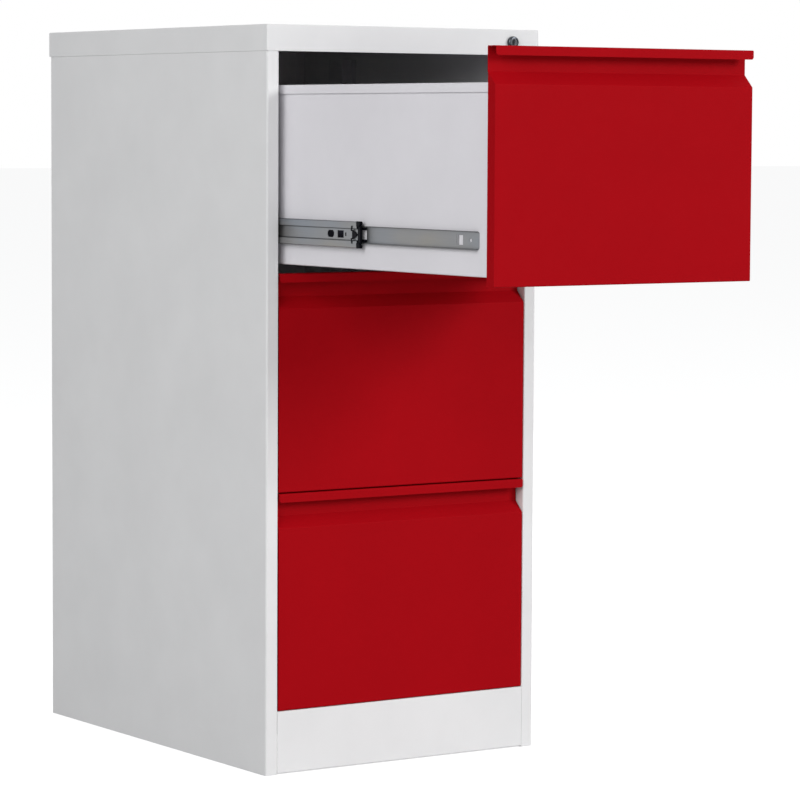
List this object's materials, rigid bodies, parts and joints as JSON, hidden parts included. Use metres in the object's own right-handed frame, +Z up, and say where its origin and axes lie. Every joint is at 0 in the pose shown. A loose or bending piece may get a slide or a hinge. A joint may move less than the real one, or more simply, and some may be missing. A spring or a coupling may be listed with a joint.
{
  "type": "vertical filing cabinet",
  "caption": "Upright steel filing cabinet with full-width lip-handle drawers on telescopic ball-bearing slides and one cam lock that locks them together.",
  "frame": {"origin": "on the floor, at the centre of the case's footprint", "axes": "+X to the right of someone facing the drawers, +Y into the cabinet, +Z up"},
  "size_m": [0.454, 1.1273, 1.03],
  "materials": {
    "case_enamel": "fine-textured powder coat, light grey-white",
    "case_inner_enamel": "thin powder coat, light grey-white",
    "drawer_enamel": "fine-textured powder coat, light grey-white",
    "red_enamel": "fine-textured powder coat, red",
    "slide_steel": "zinc-plated, rolled",
    "plated_steel": "zinc-plated",
    "black_plastic": "moulded black plastic",
    "lock_chrome": "bright chrome",
    "plug_steel": "turned, dull"
  },
  "bodies": {
    "case": {"left_side_panel": "case_enamel", "right_side_panel": "case_enamel", "back_panel": "case_enamel", "top_cap": "case_enamel", "top_front_rail": "case_enamel", "plinth": "case_enamel", "base_pan": "case_inner_enamel", "base_cross_brace": "case_inner_enamel", "left_uprights": "case_inner_enamel", "right_uprights": "case_inner_enamel", "lock_housing": "lock_chrome", "lock_nut": "plated_steel", "lock_bar_guides": "plated_steel", "drawer_1_slide_outer_members": "slide_steel", "drawer_2_slide_outer_members": "slide_steel", "drawer_3_slide_outer_members": "slide_steel"},
    "lock_core": {"lock_plug": "plug_steel", "lock_cam": "plated_steel"},
    "locking_bar": {"lock_bar": "plated_steel", "lock_hooks": "plated_steel"},
    "drawer_1": {"drawer_1_front": "red_enamel", "drawer_1_inner_panel": "drawer_enamel", "drawer_1_tray": "drawer_enamel", "drawer_1_back": "drawer_enamel", "drawer_1_lock_catch": "plated_steel", "drawer_1_slide_inner_left": "slide_steel", "drawer_1_slide_inner_right": "slide_steel", "drawer_1_release_levers": "black_plastic"},
    "drawer_1_middle_slides": {"drawer_1_slide_middle_left": "slide_steel", "drawer_1_slide_middle_right": "slide_steel", "drawer_1_slide_bumpers": "black_plastic"},
    "drawer_1_outer_cages": {"drawer_1_outer_ball_cages": "slide_steel"},
    "drawer_1_inner_cages": {"drawer_1_inner_ball_cages": "slide_steel"},
    "drawer_2": {"drawer_2_front": "red_enamel", "drawer_2_inner_panel": "drawer_enamel", "drawer_2_tray": "drawer_enamel", "drawer_2_back": "drawer_enamel", "drawer_2_lock_catch": "plated_steel", "drawer_2_slide_inner_left": "slide_steel", "drawer_2_slide_inner_right": "slide_steel", "drawer_2_release_levers": "black_plastic"},
    "drawer_2_middle_slides": {"drawer_2_slide_middle_left": "slide_steel", "drawer_2_slide_middle_right": "slide_steel", "drawer_2_slide_bumpers": "black_plastic"},
    "drawer_2_outer_cages": {"drawer_2_outer_ball_cages": "slide_steel"},
    "drawer_2_inner_cages": {"drawer_2_inner_ball_cages": "slide_steel"},
    "drawer_3": {"drawer_3_front": "red_enamel", "drawer_3_inner_panel": "drawer_enamel", "drawer_3_tray": "drawer_enamel", "drawer_3_back": "drawer_enamel", "drawer_3_lock_catch": "plated_steel", "drawer_3_slide_inner_left": "slide_steel", "drawer_3_slide_inner_right": "slide_steel", "drawer_3_release_levers": "black_plastic"},
    "drawer_3_middle_slides": {"drawer_3_slide_middle_left": "slide_steel", "drawer_3_slide_middle_right": "slide_steel", "drawer_3_slide_bumpers": "black_plastic"},
    "drawer_3_outer_cages": {"drawer_3_outer_ball_cages": "slide_steel"},
    "drawer_3_inner_cages": {"drawer_3_inner_ball_cages": "slide_steel"}
  },
  "joints": [
    {"name": "lock_turn", "type": "hinge", "parent": "case", "child": "lock_core", "pos_m": [0.181, -0.317, 1.012], "axis": [0, -1, 0], "range_deg": [0, 90]},
    {"name": "locking_bar_lift", "type": "slide", "parent": "case", "child": "locking_bar", "axis": [0, 0, 1], "range_m": [0, 0.01414]},
    {"name": "drawer_1_slide", "type": "slide", "parent": "case", "child": "drawer_1", "axis": [0, -1, 0], "range_m": [-0.5045, 0]},
    {"name": "drawer_1_middle_slides_slide", "type": "slide", "parent": "case", "child": "drawer_1_middle_slides", "axis": [0, -1, 0], "range_m": [-0.25275, 0]},
    {"name": "drawer_1_outer_cages_slide", "type": "slide", "parent": "case", "child": "drawer_1_outer_cages", "axis": [0, -1, 0], "range_m": [-0.12662, 0]},
    {"name": "drawer_1_inner_cages_slide", "type": "slide", "parent": "case", "child": "drawer_1_inner_cages", "axis": [0, -1, 0], "range_m": [-0.37888, 0]},
    {"name": "drawer_2_slide", "type": "slide", "parent": "case", "child": "drawer_2", "axis": [0, -1, 0], "range_m": [0, 0.5045]},
    {"name": "drawer_2_middle_slides_slide", "type": "slide", "parent": "case", "child": "drawer_2_middle_slides", "axis": [0, -1, 0], "range_m": [0, 0.25275]},
    {"name": "drawer_2_outer_cages_slide", "type": "slide", "parent": "case", "child": "drawer_2_outer_cages", "axis": [0, -1, 0], "range_m": [0, 0.12662]},
    {"name": "drawer_2_inner_cages_slide", "type": "slide", "parent": "case", "child": "drawer_2_inner_cages", "axis": [0, -1, 0], "range_m": [0, 0.37888]},
    {"name": "drawer_3_slide", "type": "slide", "parent": "case", "child": "drawer_3", "axis": [0, -1, 0], "range_m": [0, 0.5045]},
    {"name": "drawer_3_middle_slides_slide", "type": "slide", "parent": "case", "child": "drawer_3_middle_slides", "axis": [0, -1, 0], "range_m": [0, 0.25275]},
    {"name": "drawer_3_outer_cages_slide", "type": "slide", "parent": "case", "child": "drawer_3_outer_cages", "axis": [0, -1, 0], "range_m": [0, 0.12662]},
    {"name": "drawer_3_inner_cages_slide", "type": "slide", "parent": "case", "child": "drawer_3_inner_cages", "axis": [0, -1, 0], "range_m": [0, 0.37888]}
  ],
  "couplings": [
    {"joint": "lock_turn", "follows": "locking_bar_lift", "rad_per_m": 111.07},
    {"joint": "drawer_1_middle_slides_slide", "follows": "drawer_1_slide", "ratio": 0.5},
    {"joint": "drawer_1_outer_cages_slide", "follows": "drawer_1_slide", "ratio": 0.25},
    {"joint": "drawer_1_inner_cages_slide", "follows": "drawer_1_slide", "ratio": 0.75},
    {"joint": "drawer_2_middle_slides_slide", "follows": "drawer_2_slide", "ratio": 0.5},
    {"joint": "drawer_2_outer_cages_slide", "follows": "drawer_2_slide", "ratio": 0.25},
    {"joint": "drawer_2_inner_cages_slide", "follows": "drawer_2_slide", "ratio": 0.75},
    {"joint": "drawer_3_middle_slides_slide", "follows": "drawer_3_slide", "ratio": 0.5},
    {"joint": "drawer_3_outer_cages_slide", "follows": "drawer_3_slide", "ratio": 0.25},
    {"joint": "drawer_3_inner_cages_slide", "follows": "drawer_3_slide", "ratio": 0.75}
  ]
}
